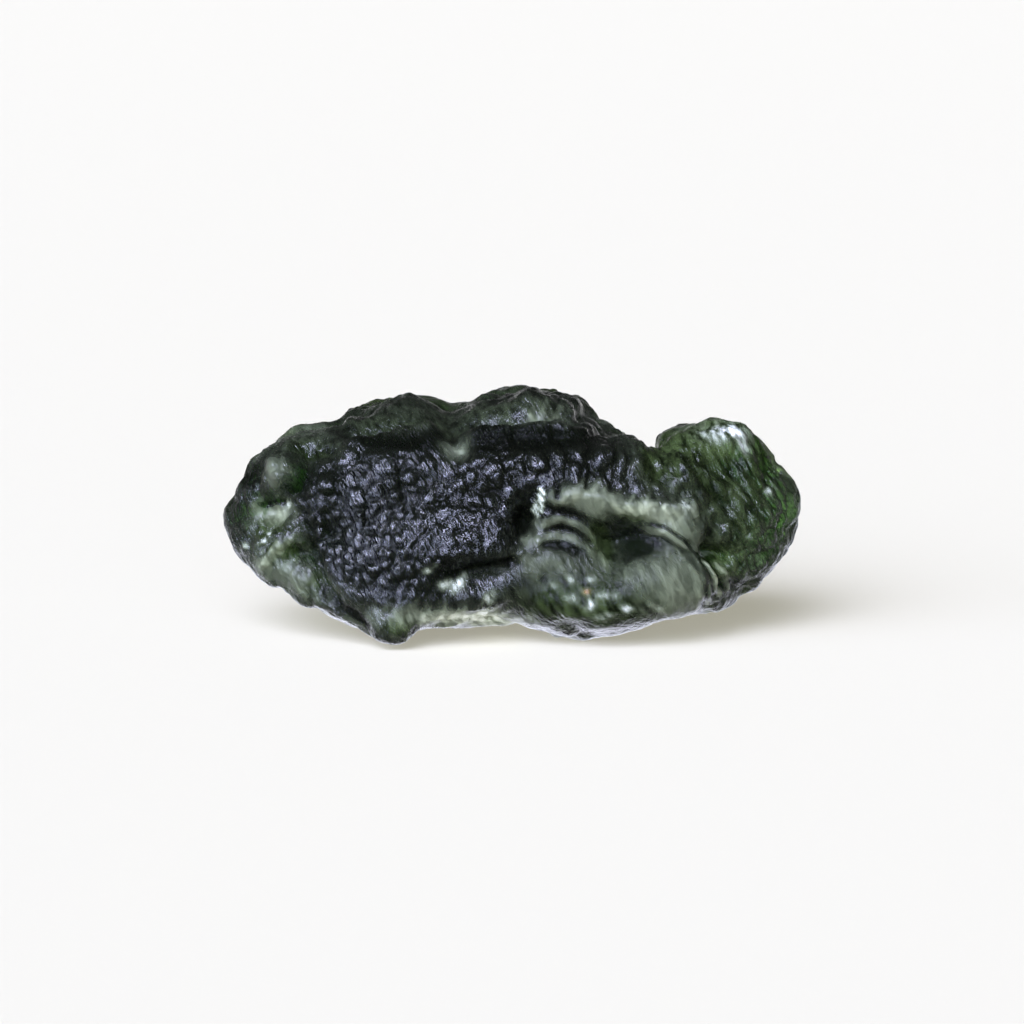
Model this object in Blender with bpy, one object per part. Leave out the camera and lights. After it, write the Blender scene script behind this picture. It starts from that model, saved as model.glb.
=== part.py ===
# A raw moldavite: one piece of dark bottle-green natural glass, etched in the ground
# until its skin is covered with knobs, pits and grooves.
# X runs along the stone, -Y is the side seen from the front, Z is up.
# The form is drawn once as seen from the front, in drawing units: x to the right, y down.
# Depths and heights of the relief are in millimetres.

from math import cos, pi, radians, sin

import bmesh
import bpy
import numpy as np

# Driving dimensions
LENGTH = 0.0240
VIEW_TILT = radians(8.0)
ROWS_ALONG = 76
POINTS_AROUND = 64

# Where the stone's two ends and its lowest point are in the drawing
LEFT_TIP = (222, 515)
RIGHT_TIP = (801, 500)
MIDDLE_X = 511.5
FLOOR_Y = 638
SPAN = RIGHT_TIP[0] - LEFT_TIP[0]
UNIT_MM = 1000 * LENGTH / SPAN
METRE_PER_MM = 0.001

# Upper and lower edge of the stone in the drawing
TOP_EDGE = [
    LEFT_TIP, (234, 486), (246, 459), (258, 449), (270, 440), (294, 425), (318, 420), (330, 417),
    (342, 406), (366, 401), (402, 394), (426, 395), (450, 398), (474, 393), (498, 388), (540, 385),
    (570, 392), (582, 400), (594, 419), (606, 430), (630, 436), (645, 439), (666, 429), (690, 421),
    (714, 419), (738, 424), (762, 436), (774, 450), (786, 466), (796, 482), RIGHT_TIP,
]
LOW_EDGE = [
    LEFT_TIP, (226, 535), (234, 553), (246, 566), (270, 585), (294, 594), (306, 601), (330, 611),
    (354, 623), (378, 635), (394, 638), (402, 636), (414, 628), (432, 624), (462, 622), (498, 618),
    (522, 617), (532, 623), (546, 628), (594, 632), (618, 629), (636, 624), (654, 614), (666, 612),
    (690, 615), (714, 613), (738, 600), (762, 582), (774, 569), (786, 549), (793, 530), (799, 514),
    RIGHT_TIP,
]

# Sections along the stone. Each is x, then the depths in mm towards the viewer of the front,
# the back, the top edge and the low edge, then how square the section is above and below.
SECTIONS = [
    (222, -0.3, -0.3, -0.3, -0.3, 2.2, 2.2),
    (228, 0.8, -1.4, -0.3, -0.2, 2.2, 2.2),
    (240, 1.5, -2.4, -0.5, 0.0, 2.2, 2.2),
    (270, 2.4, -3.7, -0.9, 0.6, 2.4, 2.2),
    (320, 3.3, -4.9, -1.8, 1.2, 2.7, 2.3),
    (360, 3.7, -5.5, -2.5, 2.0, 3.1, 2.5),
    (395, 3.9, -5.9, -2.8, 2.4, 3.4, 2.7),
    (430, 4.0, -6.1, -2.9, 0.6, 3.5, 3.2),
    (470, 4.1, -6.2, -3.0, -2.4, 3.5, 3.8),
    (505, 4.1, -6.2, -3.0, -3.0, 3.5, 3.6),
    (540, 4.0, -6.0, -2.9, -0.6, 3.5, 2.9),
    (590, 4.0, -5.7, -2.2, 0.8, 3.2, 2.6),
    (625, 3.9, -5.4, 0.2, 0.9, 2.8, 2.6),
    (660, 3.7, -5.0, -0.6, 0.6, 2.5, 2.6),
    (690, 3.4, -4.6, -1.0, 0.4, 2.4, 2.5),
    (720, 2.6, -4.2, -1.1, 0.2, 2.3, 2.4),
    (755, 1.9, -3.5, -0.9, -0.2, 2.2, 2.2),
    (785, 0.9, -2.3, -0.7, -0.5, 2.2, 2.2),
    (796, 0.1, -1.4, -0.6, -0.6, 2.2, 2.2),
    (801, -0.6, -0.6, -0.6, -0.6, 2.2, 2.2),
]

# Rounded swellings and hollows of the front: x, y, half width, half height, turn in degrees, mm
FRONT_LUMPS = [
    (287, 475, 18, 16, 0, 0.60),
    (268, 512, 18, 13, 0, -0.80),
    (296, 556, 17, 13, 20, -0.65),
    (250, 472, 12, 10, 0, -0.35),
    (240, 518, 12, 14, 0, -0.35),
    (320, 447, 18, 10, 0, -0.40),
    (395, 620, 18, 13, 0, 0.35),
    (330, 485, 16, 12, 0, 0.35),
    (328, 532, 14, 16, 60, -0.40),
    (440, 535, 50, 26, 0, 0.20),
    (524, 522, 12, 22, 12, -1.30),
    (478, 574, 34, 11, -8, -0.85),
    (615, 464, 72, 20, 3, 0.50),
    (556, 534, 24, 15, 15, -0.45),
    (618, 541, 28, 19, -8, -1.30),
    (590, 601, 58, 22, 3, 0.85),
    (655, 582, 36, 26, 10, 0.80),
    (657, 466, 15, 14, 0, -0.45),
    (712, 553, 16, 11, 10, -0.85),
    (733, 590, 12, 10, 0, -0.45),
    (722, 438, 26, 12, 12, 0.30),
    (745, 520, 26, 34, 20, 0.30),
    (722, 468, 18, 12, 0, -0.35),
    (770, 470, 14, 18, -30, -0.30),
    (790, 528, 12, 10, 0, -0.35),
]

# Long grooves and ridges of the front: points, half width, mm
FRONT_STROKES = [
    ([(281, 498), (299, 514), (305, 536), (312, 558), (320, 580), (334, 596)], 10, -0.50),
    ([(306, 448), (308, 470), (302, 490)], 8, -0.45),
    ([(340, 585), (380, 596), (420, 599), (470, 597), (505, 588)], 10, 0.30),
    ([(345, 447), (362, 431), (400, 419), (430, 415), (447, 430)], 8, 0.40),
    ([(470, 436), (482, 424), (520, 423), (560, 423), (592, 430)], 8, 0.40),
    ([(448, 420), (460, 446)], 10, -0.70),
    ([(345, 422), (385, 410), (430, 404), (475, 410), (520, 408), (560, 402), (582, 412)], 9, -0.75),
    ([(550, 498), (575, 493), (600, 499), (620, 507), (650, 506), (680, 510), (688, 530)], 11, 0.50),
    ([(640, 520), (665, 531), (685, 546), (700, 566), (706, 590), (713, 608)], 9, 0.35),
    ([(650, 440), (680, 450), (706, 462)], 10, -0.40),
]

# The same for the side turned away, whose x still runs to the right as seen from the front
BACK_LUMPS = [
    (270, 490, 26, 22, 0, -0.50),
    (318, 555, 30, 24, 20, 0.45),
    (345, 470, 30, 22, -20, 0.50),
    (405, 545, 36, 22, 10, -0.80),
    (430, 445, 26, 18, 0, -0.45),
    (478, 495, 34, 26, 25, 0.60),
    (540, 560, 34, 24, -15, -0.70),
    (575, 450, 40, 22, 10, 0.55),
    (625, 525, 26, 22, 0, -0.65),
    (665, 570, 34, 24, 0, 0.55),
    (700, 470, 34, 26, 30, 0.35),
    (745, 530, 22, 26, 0, -0.40),
]
BACK_STROKES = [
    ([(250, 545), (300, 515), (360, 512), (420, 492), (452, 455)], 8, -0.45),
    ([(380, 600), (430, 590), (470, 556), (520, 520), (590, 500), (640, 470)], 9, 0.50),
    ([(520, 425), (535, 470), (575, 505), (590, 560), (580, 605)], 7, -0.50),
    ([(650, 440), (655, 490), (690, 525), (705, 580)], 7, -0.45),
    ([(455, 590), (500, 598), (560, 590), (610, 596)], 8, -0.45),
]

# Patches of the underside that reach the ground: x, y, depth in mm, half width, mm
FEET = [
    (394, 634, 2.4, 22, 0.16),
    (602, 629, 0.2, 32, 0.42),
    (486, 616, -4.5, 36, 0.70),
]
FOOT_CUT_MM = 0.26

# Uneven swelling of the whole skin, and the knobs with grooves between them
SWELL_MM = 0.20
SWELL_SIZE_MM = 2.8
KNOB_SIZE_MM = 2.3
KNOB_GROOVE_MM = 0.34
KNOB_GROOVE_SHARE = 0.22
FRONT_KNOB_SHARE = 0.25
OUTLINE_CALM = 0.6
OUTLINE_WIDTH = 0.15
NORMAL_STEP = 0.05
NOISE_SEED = 7
TIP_FADE = 0.35


def smooth_curve(points, at):
    """Runs a smooth curve through (place, value) points and reads it at the given places:
    cubic pieces whose slope at each point is the slope between the point's neighbours."""
    place, value = np.array(points, float).T
    slope = np.gradient(value, place)
    first = np.clip(np.searchsorted(place, at) - 1, 0, len(place) - 2)
    step = place[first + 1] - place[first]
    t = np.clip((at - place[first]) / step, 0, 1)
    start = value[first] * (1 + 2 * t) * (1 - t) ** 2 + slope[first] * step * t * (1 - t) ** 2
    end = value[first + 1] * t**2 * (3 - 2 * t) + slope[first + 1] * step * t**2 * (t - 1)
    return start + end


def soft_step(low, high, value):
    """Rises smoothly from 0 at low to 1 at high."""
    t = np.clip((value - low) / (high - low), 0, 1)
    return t * t * (3 - 2 * t)


def along_angle(x):
    """Turns a drawing x into the angle that runs from 0 at the left tip to pi at the right tip."""
    return np.arccos(np.clip(1 - 2 * (np.asarray(x, float) - LEFT_TIP[0]) / SPAN, -1, 1))


def read_along(points, angle):
    """Reads a curve given by (drawing x, value) points at angles along the stone."""
    return smooth_curve([(float(along_angle(x)), value) for x, value in points], angle)


def base_form(angle, c, s):
    """Gives x and y in drawing units and depth in mm for points of the plain rounded form.
    angle runs along the stone, c and s are cosine and sine around it: c is 1 at the front
    and s is 1 at the top. Each section is a rounded square stretched between the two edges."""
    x = LEFT_TIP[0] + SPAN * (1 - np.cos(angle)) / 2
    top, low = read_along(TOP_EDGE, angle), read_along(LOW_EDGE, angle)
    front, back, top_depth, low_depth, square_top, square_low = (
        read_along([(section[0], section[i]) for section in SECTIONS], angle) for i in range(1, 7)
    )
    power = np.where(s > 0, square_top, square_low)
    reach = (np.abs(c) ** power + np.abs(s) ** power) ** (-1 / power)
    across, up = c * reach, s * reach
    y = (top + low) / 2 - up * (low - top) / 2
    spine = low_depth + (top_depth - low_depth) * (up + 1) / 2
    depth = spine + np.abs(across) * (np.where(c > 0, front, back) - spine)
    return x, y, depth


def lumps(x, y, table):
    """Adds up rounded lumps: each falls off as exp(-r^2), where r is 1 at its half width."""
    total = np.zeros_like(x)
    for lump_x, lump_y, half_wide, half_high, turn, height in table:
        a, b = cos(radians(turn)), sin(radians(turn))
        u = ((x - lump_x) * a + (y - lump_y) * b) / half_wide
        v = ((y - lump_y) * a - (x - lump_x) * b) / half_high
        total += height * np.exp(-(u**2 + v**2) * 0.9)
    return total


def strokes(x, y, table):
    """Adds up grooves and ridges: each falls off as exp(-r^2) with the distance to its line."""
    total = np.zeros_like(x)
    for points, half_width, height in table:
        nearest = np.full_like(x, 1e9)
        for (x0, y0), (x1, y1) in zip(points, points[1:]):
            run = ((x - x0) * (x1 - x0) + (y - y0) * (y1 - y0)) / ((x1 - x0) ** 2 + (y1 - y0) ** 2)
            run = np.clip(run, 0, 1)
            away = (x - x0 - run * (x1 - x0)) ** 2 + (y - y0 - run * (y1 - y0)) ** 2
            nearest = np.minimum(nearest, away)
        total += height * np.exp(-nearest / half_width**2)
    return total


def lattice_value(ix, iy, iz, seed):
    """Gives a repeatable number from 0 to 1 for each whole-number point of a lattice."""
    n = (ix * 73856093) ^ (iy * 19349663) ^ (iz * 83492791) ^ (seed * 2654435)
    n = ((n ^ (n >> 13)) * 1274126177) & 0x7FFFFFFF
    return ((n ^ (n >> 15)) & 0xFFFF) / 0xFFFF


def soft_noise(p, seed):
    """Smooth noise from -1 to 1: random numbers on a lattice, blended with an S-shaped weight."""
    cell = np.floor(p).astype(np.int64)
    t = p - cell
    t = t * t * (3 - 2 * t)
    total = np.zeros(len(p))
    for corner in np.ndindex(2, 2, 2):
        weight = np.prod(np.where(np.array(corner) == 1, t, 1 - t), axis=1)
        total += weight * lattice_value(*(cell + corner).T, seed)
    return 2 * total - 1


def cell_edges(p, seed):
    """How far each point lies from the border between scattered seeds: the distance to the
    second nearest seed less the distance to the nearest, 0 on a border."""
    cell = np.floor(p).astype(np.int64)
    nearest = np.full(len(p), 9.0)
    second = np.full(len(p), 9.0)
    for offset in np.ndindex(3, 3, 3):
        spot = cell + np.array(offset) - 1
        scatter = np.stack([lattice_value(*spot.T, seed + 31 * axis) for axis in range(3)], axis=1)
        away = np.linalg.norm(spot + scatter - p, axis=1)
        second = np.minimum(second, np.maximum(nearest, away))
        nearest = np.minimum(nearest, away)
    return second - nearest


def coarse_relief(angle, c, x, y, depth):
    """Height in mm of the large knobs, ledges, pits and ridges above the plain form."""
    front = soft_step(-0.10, 0.30, c)
    face = soft_step(0.40, 0.80, c)
    relief = front * (lumps(x, y, FRONT_LUMPS) + strokes(x, y, FRONT_STROKES))
    relief += (1 - front) * (lumps(x, y, BACK_LUMPS) + strokes(x, y, BACK_STROKES))
    p = np.stack([x * UNIT_MM, y * UNIT_MM, depth], axis=1)
    q = p / SWELL_SIZE_MM
    bend = np.stack([soft_noise(q * 0.7 + 9.1, NOISE_SEED + i) for i in range(3)], axis=1)
    swell = soft_noise(q + 0.6 * bend, NOISE_SEED + 3) + 0.5 * soft_noise(2.1 * q + bend, NOISE_SEED + 4)
    calm = 1 - OUTLINE_CALM * np.exp(-((c / OUTLINE_WIDTH) ** 2))
    relief += calm * SWELL_MM * swell * (1.6 - 1.0 * face)
    border = cell_edges(p / KNOB_SIZE_MM + 0.35 * bend, NOISE_SEED + 5)
    groove = np.exp(-((border / KNOB_GROOVE_SHARE) ** 2))
    relief -= calm * KNOB_GROOVE_MM * groove * (1 - (1 - FRONT_KNOB_SHARE) * face)
    for foot_x, foot_y, foot_depth, half_width, height in FEET:
        away = ((x - foot_x) ** 2 + (y - foot_y) ** 2) * UNIT_MM**2 + (depth - foot_depth) ** 2
        relief += height * np.exp(-away / (half_width * UNIT_MM) ** 2)
    return relief * np.clip(np.sin(angle) / TIP_FADE, 0, 1)


def place(x, y, depth):
    """Turns drawing units and depth into millimetres in space, with the view's tilt put back."""
    h = (FLOOR_Y - y) * UNIT_MM
    across = (x - MIDDLE_X) * UNIT_MM
    away = h * sin(VIEW_TILT) - depth * cos(VIEW_TILT)
    up = h * cos(VIEW_TILT) + depth * sin(VIEW_TILT)
    return np.stack([across, away, up], axis=1)


def base_point(angle, around):
    """The plain form in space, in millimetres."""
    return place(*base_form(angle, np.cos(around), np.sin(around)))


def outward(angle, around):
    """The plain form's outward direction, from its slopes along and around the stone. They are
    taken over a step wide enough to keep neighbouring directions alike at the sharp rims."""
    safe = np.clip(angle, 2 * NORMAL_STEP, pi - 2 * NORMAL_STEP)
    along = base_point(safe + NORMAL_STEP, around) - base_point(safe - NORMAL_STEP, around)
    round_it = base_point(safe, around + NORMAL_STEP) - base_point(safe, around - NORMAL_STEP)
    normal = np.cross(along, round_it)
    return normal / np.linalg.norm(normal, axis=1, keepdims=True)


def stone_points(angle, around):
    """The stone's surface in millimetres, before it is set down."""
    c, s = np.cos(around), np.sin(around)
    x, y, depth = base_form(angle, c, s)
    relief = coarse_relief(angle, c, x, y, depth)
    return place(x, y, depth) + outward(angle, around) * relief[:, None]


def set_down(points):
    """Lowers the stone by the depth of its worn resting spots, flattens them at Z = 0, and
    centres its box over the origin."""
    points = points.copy()
    points[:, 2] -= points[:, 2].min() + FOOT_CUT_MM
    points[:, 2] = np.maximum(points[:, 2], 0)
    points[:, :2] -= (points[:, :2].min(axis=0) + points[:, :2].max(axis=0)) / 2
    return points


def make_material():
    """Dark bottle-green natural glass."""
    material = bpy.data.materials.new("moldavite glass")
    material.use_nodes = True
    shader = material.node_tree.nodes["Principled BSDF"]
    shader.inputs["Base Color"].default_value = (0.035, 0.060, 0.032, 1.0)
    shader.inputs["Roughness"].default_value = 0.18
    shader.inputs["Metallic"].default_value = 0.0
    return material


def make_stone(collection):
    """Starts from a sphere whose poles become the stone's two tips, and moves its points."""
    ball = bmesh.new()
    bmesh.ops.create_uvsphere(
        ball, u_segments=POINTS_AROUND, v_segments=ROWS_ALONG, radius=1.0
    )
    bmesh.ops.triangulate(ball, faces=ball.faces[:])
    mesh = bpy.data.meshes.new("moldavite")
    ball.to_mesh(mesh)
    ball.free()
    sphere = np.empty(len(mesh.vertices) * 3)
    mesh.vertices.foreach_get("co", sphere)
    away, up, along = sphere.reshape(-1, 3).T
    angle = np.arccos(np.clip(-along, -1, 1))
    around = np.arctan2(up, -away)
    points = set_down(stone_points(angle, around)) * METRE_PER_MM
    mesh.vertices.foreach_set("co", points.ravel())
    mesh.update()
    mesh.shade_smooth()
    stone = bpy.data.objects.new("moldavite", mesh)
    stone.data.materials.append(make_material())
    collection.objects.link(stone)
    return stone


for old in list(bpy.data.objects):
    bpy.data.objects.remove(old, do_unlink=True)
parts = bpy.data.collections.new("raw moldavite")
bpy.context.scene.collection.children.link(parts)
make_stone(parts)
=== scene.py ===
# %% [markdown]
# # A raw moldavite
# Moldavite is a natural glass, bottle green and see-through where it is thin. Ground water has
# etched this piece for millions of years, so that its skin is all knobs, pits and grooves.
# In Blender a stone like this could be sculpted by hand, grown from a displaced sphere, or
# worked out with numpy. The last way is used here, because every knob and groove then has a
# name, a place and a size that a reader can change.

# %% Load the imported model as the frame
from math import cos, pi, radians, sin

import bpy
import numpy as np
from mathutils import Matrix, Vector


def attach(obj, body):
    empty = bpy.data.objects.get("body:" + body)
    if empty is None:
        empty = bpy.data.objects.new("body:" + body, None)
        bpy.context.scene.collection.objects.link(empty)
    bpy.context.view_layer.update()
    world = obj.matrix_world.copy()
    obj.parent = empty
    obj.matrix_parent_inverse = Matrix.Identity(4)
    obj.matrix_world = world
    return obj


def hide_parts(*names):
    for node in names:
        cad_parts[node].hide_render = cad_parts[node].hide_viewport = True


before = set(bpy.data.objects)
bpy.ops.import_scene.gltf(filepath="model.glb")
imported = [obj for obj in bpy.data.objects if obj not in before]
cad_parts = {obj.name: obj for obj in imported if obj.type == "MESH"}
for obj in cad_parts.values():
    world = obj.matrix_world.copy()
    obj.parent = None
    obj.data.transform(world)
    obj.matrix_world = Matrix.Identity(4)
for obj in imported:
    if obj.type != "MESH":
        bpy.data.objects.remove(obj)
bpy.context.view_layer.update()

# %% [markdown]
# ## The drawing
# The stone is drawn once as it is seen from the front: x to the right and y down, in drawing
# units. One length in metres sets how large a unit is. Depths towards the viewer and heights
# of the relief are in millimetres. The view looks down at the stone a little, and that tilt is
# put back when the drawing is turned into space.

# %% The size of the drawing
LENGTH = 0.0240
VIEW_TILT = radians(8.0)
LEFT_TIP = (222, 515)
RIGHT_TIP = (801, 500)
MIDDLE_X = 511.5
FLOOR_Y = 638
SPAN = RIGHT_TIP[0] - LEFT_TIP[0]
UNIT_MM = 1000 * LENGTH / SPAN
METRE_PER_MM = 0.001
print("one drawing unit is", round(UNIT_MM, 4), "mm")

# %% [markdown]
# ## The plain form
# Two curves give the stone's upper and lower edge, and a table of sections gives how far it
# comes forward and goes back at places along it. Between the rows, smooth cubic pieces fill in.
# This is how a boat's hull is drawn, and it keeps the outline true while the inside is shaped.

# %% Edges and sections
TOP_EDGE = [
    LEFT_TIP, (234, 486), (246, 459), (258, 449), (270, 440), (294, 425), (318, 420), (330, 417),
    (342, 406), (366, 401), (402, 394), (426, 395), (450, 398), (474, 393), (498, 388), (540, 385),
    (570, 392), (582, 400), (594, 419), (606, 430), (630, 436), (645, 439), (666, 429), (690, 421),
    (714, 419), (738, 424), (762, 436), (774, 450), (786, 466), (796, 482), RIGHT_TIP,
]
LOW_EDGE = [
    LEFT_TIP, (226, 535), (234, 553), (246, 566), (270, 585), (294, 594), (306, 601), (330, 611),
    (354, 623), (378, 635), (394, 638), (402, 636), (414, 628), (432, 624), (462, 622), (498, 618),
    (522, 617), (532, 623), (546, 628), (594, 632), (618, 629), (636, 624), (654, 614), (666, 612),
    (690, 615), (714, 613), (738, 600), (762, 582), (774, 569), (786, 549), (793, 530), (799, 514),
    RIGHT_TIP,
]
# Each section is x, then the depths in mm of the front, the back, the top edge and the low
# edge, then how square the section is above and below.
SECTIONS = [
    (222, -0.3, -0.3, -0.3, -0.3, 2.2, 2.2),
    (228, 0.8, -1.4, -0.3, -0.2, 2.2, 2.2),
    (240, 1.5, -2.4, -0.5, 0.0, 2.2, 2.2),
    (270, 2.4, -3.7, -0.9, 0.6, 2.4, 2.2),
    (320, 3.3, -4.9, -1.8, 1.2, 2.7, 2.3),
    (360, 3.7, -5.5, -2.5, 2.0, 3.1, 2.5),
    (395, 3.9, -5.9, -2.8, 2.4, 3.4, 2.7),
    (430, 4.0, -6.1, -2.9, 0.6, 3.5, 3.2),
    (470, 4.1, -6.2, -3.0, -2.4, 3.5, 3.8),
    (505, 4.1, -6.2, -3.0, -3.0, 3.5, 3.6),
    (540, 4.0, -6.0, -2.9, -0.6, 3.5, 2.9),
    (590, 4.0, -5.7, -2.2, 0.8, 3.2, 2.6),
    (625, 3.9, -5.4, 0.2, 0.9, 2.8, 2.6),
    (660, 3.7, -5.0, -0.6, 0.6, 2.5, 2.6),
    (690, 3.4, -4.6, -1.0, 0.4, 2.4, 2.5),
    (720, 2.6, -4.2, -1.1, 0.2, 2.3, 2.4),
    (755, 1.9, -3.5, -0.9, -0.2, 2.2, 2.2),
    (785, 0.9, -2.3, -0.7, -0.5, 2.2, 2.2),
    (796, 0.1, -1.4, -0.6, -0.6, 2.2, 2.2),
    (801, -0.6, -0.6, -0.6, -0.6, 2.2, 2.2),
]


# %% Reading curves
def soft_step(low, high, value):
    """Rises smoothly from 0 at low to 1 at high."""
    t = np.clip((value - low) / (high - low), 0, 1)
    return t * t * (3 - 2 * t)


def smooth_curve(points, at):
    """Runs a smooth curve through (place, value) points and reads it at the given places:
    cubic pieces whose slope at each point is the slope between the point's neighbours."""
    place, value = np.array(points, float).T
    slope = np.gradient(value, place)
    first = np.clip(np.searchsorted(place, at) - 1, 0, len(place) - 2)
    step = place[first + 1] - place[first]
    t = np.clip((at - place[first]) / step, 0, 1)
    start = value[first] * (1 + 2 * t) * (1 - t) ** 2 + slope[first] * step * t * (1 - t) ** 2
    end = value[first + 1] * t**2 * (3 - 2 * t) + slope[first + 1] * step * t**2 * (t - 1)
    return start + end


def along_angle(x):
    """Turns a drawing x into the angle that runs from 0 at the left tip to pi at the right tip."""
    return np.arccos(np.clip(1 - 2 * (np.asarray(x, float) - LEFT_TIP[0]) / SPAN, -1, 1))


def read_along(points, angle):
    """Reads a curve given by (drawing x, value) points at angles along the stone."""
    return smooth_curve([(float(along_angle(x)), value) for x, value in points], angle)


midway = float(along_angle(MIDDLE_X))
tall = read_along(LOW_EDGE, midway) - read_along(TOP_EDGE, midway)
print("the stone is", round(float(tall) * UNIT_MM, 2), "mm high midway")


# %% The plain form as a function of two angles
def base_form(angle, c, s):
    """Gives x and y in drawing units and depth in mm for points of the plain rounded form.
    angle runs along the stone, c and s are cosine and sine around it: c is 1 at the front
    and s is 1 at the top. Each section is a rounded square stretched between the two edges."""
    x = LEFT_TIP[0] + SPAN * (1 - np.cos(angle)) / 2
    top, low = read_along(TOP_EDGE, angle), read_along(LOW_EDGE, angle)
    front, back, top_depth, low_depth, square_top, square_low = (
        read_along([(section[0], section[i]) for section in SECTIONS], angle) for i in range(1, 7)
    )
    power = np.where(s > 0, square_top, square_low)
    reach = (np.abs(c) ** power + np.abs(s) ** power) ** (-1 / power)
    across, up = c * reach, s * reach
    y = (top + low) / 2 - up * (low - top) / 2
    spine = low_depth + (top_depth - low_depth) * (up + 1) / 2
    depth = spine + np.abs(across) * (np.where(c > 0, front, back) - spine)
    return x, y, depth


def place(x, y, depth):
    """Turns drawing units and depth into millimetres in space, with the view's tilt put back."""
    h = (FLOOR_Y - y) * UNIT_MM
    across = (x - MIDDLE_X) * UNIT_MM
    away = h * sin(VIEW_TILT) - depth * cos(VIEW_TILT)
    up = h * cos(VIEW_TILT) + depth * sin(VIEW_TILT)
    return np.stack([across, away, up], axis=1)


# %% [markdown]
# ## The large relief
# Swellings, hollows, grooves and ridges are added to the plain form along its outward direction. Lumps are
# soft hills given by a centre and two half widths. Strokes are grooves or ridges that follow a line of
# points. On the front both are listed one by one where the real stone has them, and those of the back are
# drawn in the same manner.

# %% Lumps and strokes of the large relief
# x, y, half width, half height, turn in degrees, mm
FRONT_LUMPS = [
    (287, 475, 18, 16, 0, 0.6), (268, 512, 18, 13, 0, -0.8), (296, 556, 17, 13, 20, -0.65),
    (250, 472, 12, 10, 0, -0.14), (240, 518, 12, 14, 0, -0.18), (320, 447, 18, 10, 0, -0.4),
    (395, 620, 18, 13, 0, 0.35), (330, 485, 16, 12, 0, 0.35), (328, 532, 14, 16, 60, -0.4),
    (440, 535, 50, 26, 0, 0.2), (524, 521, 11, 21, 12, -1.05), (478, 574, 34, 11, -8, -0.85),
    (615, 464, 72, 20, 3, 0.5), (556, 534, 24, 15, 15, -0.45), (619, 542, 25, 18, -8, -1.3),
    (590, 603, 58, 22, 3, 0.68), (655, 582, 36, 26, 10, 0.8), (657, 466, 15, 14, 0, -0.45),
    (712, 553, 16, 11, 10, -0.85), (733, 590, 12, 10, 0, -0.25), (722, 438, 26, 12, 12, 0.3),
    (745, 520, 26, 34, 20, 0.3), (722, 468, 18, 12, 0, -0.35), (770, 470, 14, 18, -30, -0.3),
    (790, 528, 12, 10, 0, -0.35), (395, 426, 62, 20, -6, -0.4), (535, 433, 66, 20, 0, -0.55),
    (415, 574, 105, 44, 0, 0.42),
]
# points, half width, mm
FRONT_STROKES = [
    ([(281, 498), (299, 514), (305, 536), (312, 558), (320, 580), (334, 596)], 10, -0.5),
    ([(306, 448), (308, 470), (302, 490)], 8, -0.45),
    ([(340, 585), (380, 596), (420, 599), (470, 597), (505, 588)], 10, 0.08),
    ([(345, 447), (362, 431), (400, 419), (430, 415), (447, 430)], 8, 0.15),
    ([(470, 436), (482, 424), (520, 423), (560, 423), (592, 430)], 8, 0.15),
    ([(448, 420), (460, 446)], 10, -0.7),
    ([(345, 422), (385, 410), (430, 404), (475, 410), (520, 408), (560, 402), (582, 412)], 9, -0.75),
    ([(550, 498), (575, 493), (600, 499), (620, 507), (650, 506), (680, 510), (688, 530)], 11, 0.5),
    ([(640, 520), (665, 531), (685, 546), (698, 566), (702, 588)], 9, 0.35),
    ([(650, 440), (680, 450), (706, 462)], 10, -0.4),
]
# The same for the side turned away, whose x still runs to the right as seen from the front
BACK_LUMPS = [
    (270, 490, 26, 22, 0, -0.5), (318, 555, 30, 24, 20, 0.45), (345, 470, 30, 22, -20, 0.5),
    (405, 545, 36, 22, 10, -0.8), (430, 445, 26, 18, 0, -0.45), (478, 495, 34, 26, 25, 0.6),
    (540, 560, 34, 24, -15, -0.7), (575, 450, 40, 22, 10, 0.55), (625, 525, 26, 22, 0, -0.65),
    (665, 570, 34, 24, 0, 0.55), (700, 470, 34, 26, 30, 0.35), (745, 530, 22, 26, 0, -0.4),
]
BACK_STROKES = [
    ([(250, 545), (300, 515), (360, 512), (420, 492), (452, 455)], 8, -0.45),
    ([(380, 600), (430, 590), (470, 556), (520, 520), (590, 500), (640, 470)], 9, 0.5),
    ([(520, 425), (535, 470), (575, 505), (590, 560), (580, 605)], 7, -0.5),
    ([(650, 440), (655, 490), (690, 525), (705, 580)], 7, -0.45),
    ([(455, 590), (500, 598), (560, 590), (610, 596)], 8, -0.45),
]
# Patches of the underside that reach the ground: x, y, depth in mm, half width, mm
FEET = [
    (394, 634, 2.4, 22, 0.16),
    (602, 629, 0.2, 32, 0.42),
    (486, 616, -4.5, 36, 0.70),
]
FOOT_CUT_MM = 0.26


# %% Adding up lumps and strokes
LUMP_FALL = 0.9


def in_ellipse(x, y, centre_x, centre_y, half_wide, half_high, turn):
    """Places as seen by a turned ellipse: how far across and how far down from its centre they
    lie, in its half width and half height."""
    a, b = cos(radians(turn)), sin(radians(turn))
    across = ((x - centre_x) * a + (y - centre_y) * b) / half_wide
    down = ((y - centre_y) * a - (x - centre_x) * b) / half_high
    return across, down


def lumps(x, y, table):
    """Adds up rounded lumps: each falls off as exp(-0.9 r^2), where r is 1 at its half width."""
    total = np.zeros_like(x)
    for *ellipse, height in table:
        across, down = in_ellipse(x, y, *ellipse)
        total += height * np.exp(-(across**2 + down**2) * LUMP_FALL)
    return total


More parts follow.
